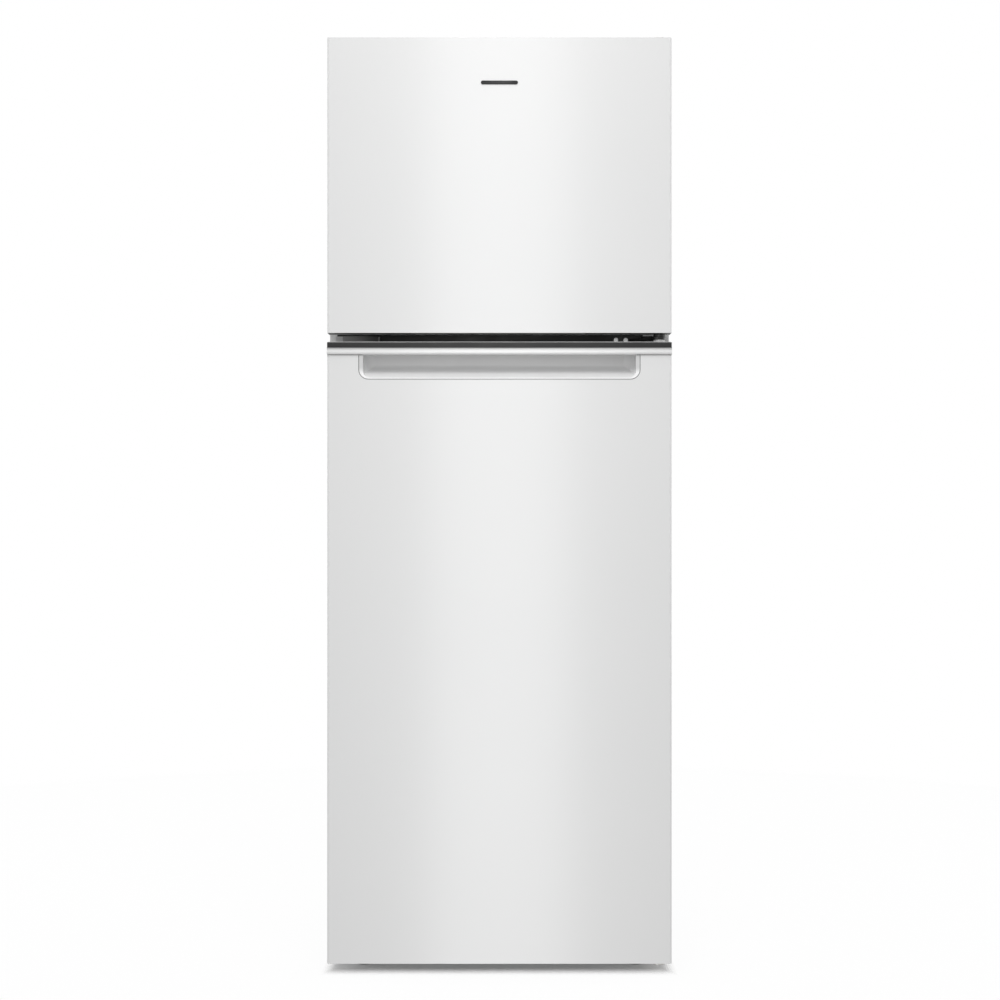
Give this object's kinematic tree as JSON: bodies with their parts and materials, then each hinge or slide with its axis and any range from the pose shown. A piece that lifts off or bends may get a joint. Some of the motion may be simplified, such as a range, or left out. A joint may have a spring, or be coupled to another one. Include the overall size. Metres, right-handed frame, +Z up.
{
  "type": "top-freezer refrigerator",
  "caption": "Upright top-freezer refrigerator: stacked right-hinged doors, a metal pull bar over a recessed pocket in the lower door, shelves, door bins and a sliding crisper.",
  "frame": {"origin": "on the floor, under the middle of the whole closed refrigerator's box", "axes": "+Z up; the doors face -Y; +X is to the right of someone who faces the doors"},
  "size_m": [0.595, 0.6612, 1.634],
  "materials": {
    "white_enamel": "smooth gloss enamel",
    "galvanised_steel": "spangled zinc",
    "insulation": "rigid foam",
    "white_moulding": "smooth",
    "grey_moulding": "fine texture",
    "dark_moulding": "satin",
    "satin_aluminium": "satin anodised",
    "fin_aluminium": "mill",
    "gasket": "matt",
    "zinc_plate": "zinc plated",
    "screw_steel": "bright",
    "black_enamel": "semi-gloss",
    "motor_steel": "satin",
    "black_rubber": "matt",
    "black_plastic": "satin",
    "clear_glass": "tempered",
    "frosted_plastic": "frosted",
    "clear_plastic": "clear"
  },
  "bodies": {
    "cabinet": {"cabinet_wrapper": "white_enamel", "mullion_bar": "white_enamel", "freezer_shelf": "white_enamel", "rear_panel": "galvanised_steel", "base_pan": "galvanised_steel", "rear_cover": "galvanised_steel", "cabinet_foam": "insulation", "freezer_liner": "white_moulding", "fridge_liner": "white_moulding", "evaporator_cover": "white_moulding", "air_duct": "white_moulding", "control_housing": "white_moulding", "top_hinge_cover": "white_moulding", "hinge_hole_plugs": "white_moulding", "fridge_shelf_lower": "white_moulding", "fridge_shelf_upper": "white_moulding", "crisper_cover": "white_moulding", "evaporator": "fin_aluminium", "top_hinge": "zinc_plate", "middle_hinge": "black_enamel", "bottom_hinge": "zinc_plate", "roller_axles": "zinc_plate", "hinge_screws": "screw_steel", "compressor": "black_enamel", "condenser": "black_enamel", "condenser_fan_motor": "motor_steel", "evaporator_fan_motor": "motor_steel", "compressor_grommets": "black_rubber", "cord_gland": "black_rubber", "drain_pan": "grey_moulding", "shelf_glass": "clear_glass", "lamp_lens": "frosted_plastic"},
    "freezer_door": {"freezer_door_skin": "white_enamel", "freezer_door_foam": "insulation", "freezer_door_liner": "white_moulding", "freezer_door_gasket": "gasket", "freezer_door_top_cap": "white_moulding", "freezer_door_bottom_cap": "grey_moulding", "freezer_door_bin_lower": "clear_plastic", "freezer_door_bin_upper": "clear_plastic"},
    "fridge_door": {"fridge_door_skin": "white_enamel", "fridge_door_foam": "insulation", "fridge_door_liner": "white_moulding", "fridge_door_gasket": "gasket", "fridge_door_top_cap": "dark_moulding", "fridge_door_bottom_cap": "grey_moulding", "handle_pocket": "white_moulding", "handle_trim": "satin_aluminium", "fridge_door_bin_lower": "clear_plastic", "fridge_door_bin_middle": "clear_plastic", "fridge_door_bin_upper": "clear_plastic"},
    "crisper": {"crisper_drawer": "clear_plastic"},
    "humidity_control": {"humidity_slider": "grey_moulding"},
    "temperature_dial": {"temperature_knob": "grey_moulding"},
    "evaporator_fan_rotor": {"evaporator_fan": "grey_moulding"},
    "condenser_fan_rotor": {"condenser_fan": "black_plastic"},
    "left_leg": {"leveling_leg_left": "black_plastic"},
    "right_leg": {"leveling_leg_right": "black_plastic"},
    "left_roller": {"rear_roller_left": "black_plastic"},
    "right_roller": {"rear_roller_right": "black_plastic"}
  },
  "joints": [
    {"name": "freezer_door_hinge", "type": "hinge", "parent": "cabinet", "child": "freezer_door", "pos_m": [0.2775, -0.2996, 1.365], "axis": [0, 0, 1], "range_deg": [0, 135]},
    {"name": "fridge_door_hinge", "type": "hinge", "parent": "cabinet", "child": "fridge_door", "pos_m": [0.2775, -0.2996, 0.5575], "axis": [0, 0, 1], "range_deg": [0, 135]},
    {"name": "crisper_slide", "type": "slide", "parent": "cabinet", "child": "crisper", "axis": [0, -1, 0], "range_m": [0, 0.2]},
    {"name": "humidity_slide", "type": "slide", "parent": "cabinet", "child": "humidity_control", "axis": [1, 0, 0], "range_m": [0, 0.04]},
    {"name": "temperature_turn", "type": "hinge", "parent": "cabinet", "child": "temperature_dial", "pos_m": [0.07, -0.1506, 1.042], "axis": [0, -1, 0], "range_deg": [0, 270]},
    {"name": "evaporator_fan_spin", "type": "hinge", "parent": "cabinet", "child": "evaporator_fan_rotor", "pos_m": [0, 0.1914, 1.467], "axis": [0, 1, 0], "continuous": true},
    {"name": "condenser_fan_spin", "type": "hinge", "parent": "cabinet", "child": "condenser_fan_rotor", "pos_m": [-0.03, 0.1834, 0.17325], "axis": [0, 1, 0], "continuous": true},
    {"name": "left_leg_screw", "type": "slide", "parent": "cabinet", "child": "left_leg", "axis": [0, 0, -1], "range_m": [0, 0.015]},
    {"name": "right_leg_screw", "type": "slide", "parent": "cabinet", "child": "right_leg", "axis": [0, 0, -1], "range_m": [0, 0.015]},
    {"name": "left_roller_spin", "type": "hinge", "parent": "cabinet", "child": "left_roller", "pos_m": [-0.2555, 0.2684, 0.014], "axis": [1, 0, 0], "continuous": true},
    {"name": "right_roller_spin", "type": "hinge", "parent": "cabinet", "child": "right_roller", "pos_m": [0.2555, 0.2684, 0.014], "axis": [1, 0, 0], "continuous": true}
  ],
  "couplings": [
    {"joint": "crisper_slide", "follows": "fridge_door_hinge", "m_per_rad": 0.0848}
  ]
}
